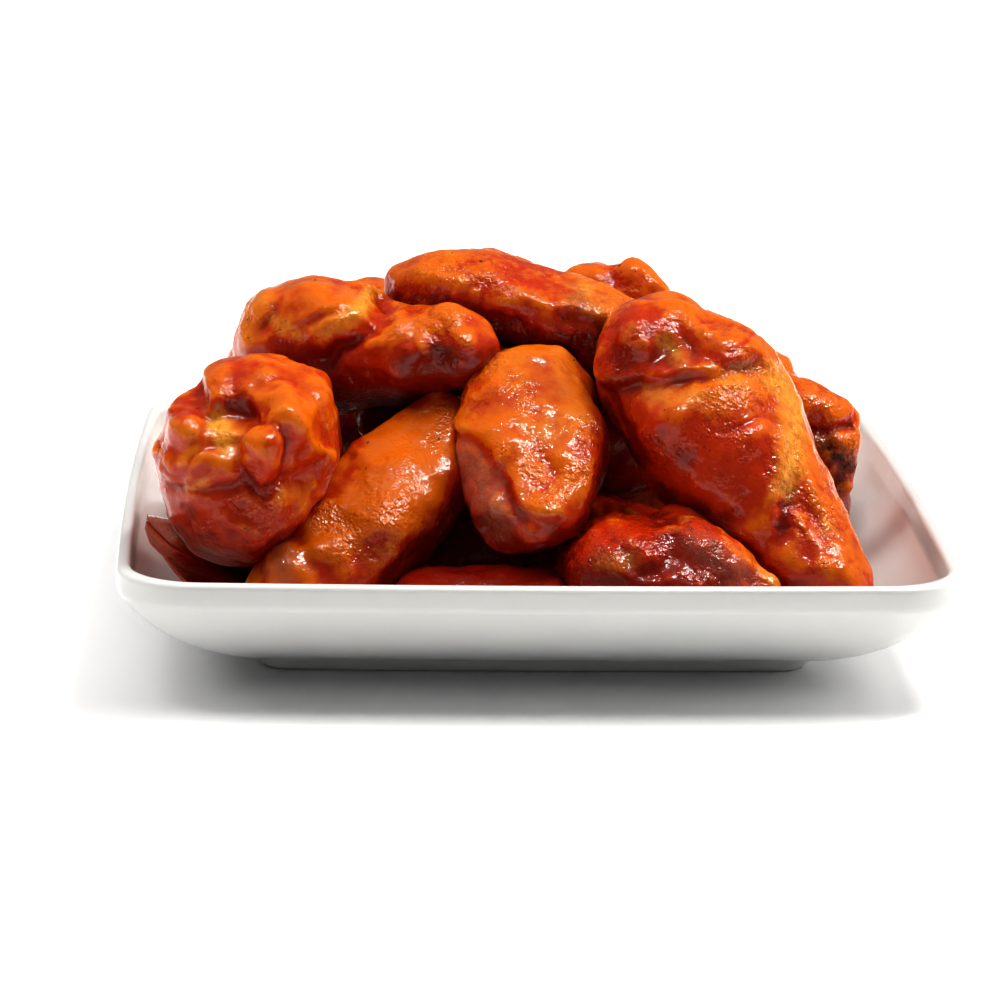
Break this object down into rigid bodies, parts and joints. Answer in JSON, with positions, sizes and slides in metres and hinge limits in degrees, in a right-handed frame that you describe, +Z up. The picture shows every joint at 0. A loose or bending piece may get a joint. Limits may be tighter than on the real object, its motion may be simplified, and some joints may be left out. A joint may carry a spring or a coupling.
{
  "type": "chicken wings serving",
  "caption": "Sauced chicken wings, drumettes and flats, heaped on a square white porcelain plate with a curved rim wall and a foot ring.",
  "frame": {"origin": "centre of the plate's footprint, on the surface that it stands on", "axes": "+Z up, +X to the right and -Y towards the viewer, each square to a side of the plate"},
  "size_m": [0.2028, 0.2028, 0.0924],
  "materials": {
    "sauced_wing": "roast chicken skin under a thin, glossy orange-red hot sauce, browner at the edges and nearly black in the hollows",
    "porcelain": "smooth warm white glaze with soft reflections",
    "sauce": "thin wet red-brown sauce, translucent at its edge",
    "pepper": "coarse dark ground pepper"
  },
  "bodies": {
    "root": {"drumette_back_left": "sauced_wing", "drumette_back_right": "sauced_wing", "drumette_left": "sauced_wing", "drumette_middle": "sauced_wing", "drumette_right": "sauced_wing", "drumette_under_right": "sauced_wing", "drumette_upper_left": "sauced_wing", "flat_back_upper": "sauced_wing", "flat_centre": "sauced_wing", "flat_charred_right": "sauced_wing", "flat_front_left": "sauced_wing", "flat_low_centre": "sauced_wing", "flat_low_right": "sauced_wing", "flat_rear": "sauced_wing", "flat_top": "sauced_wing", "flat_top_back": "sauced_wing", "flat_under_front": "sauced_wing", "flat_under_left": "sauced_wing", "flat_under_middle": "sauced_wing", "plate": "porcelain"}
  },
  "joints": []
}
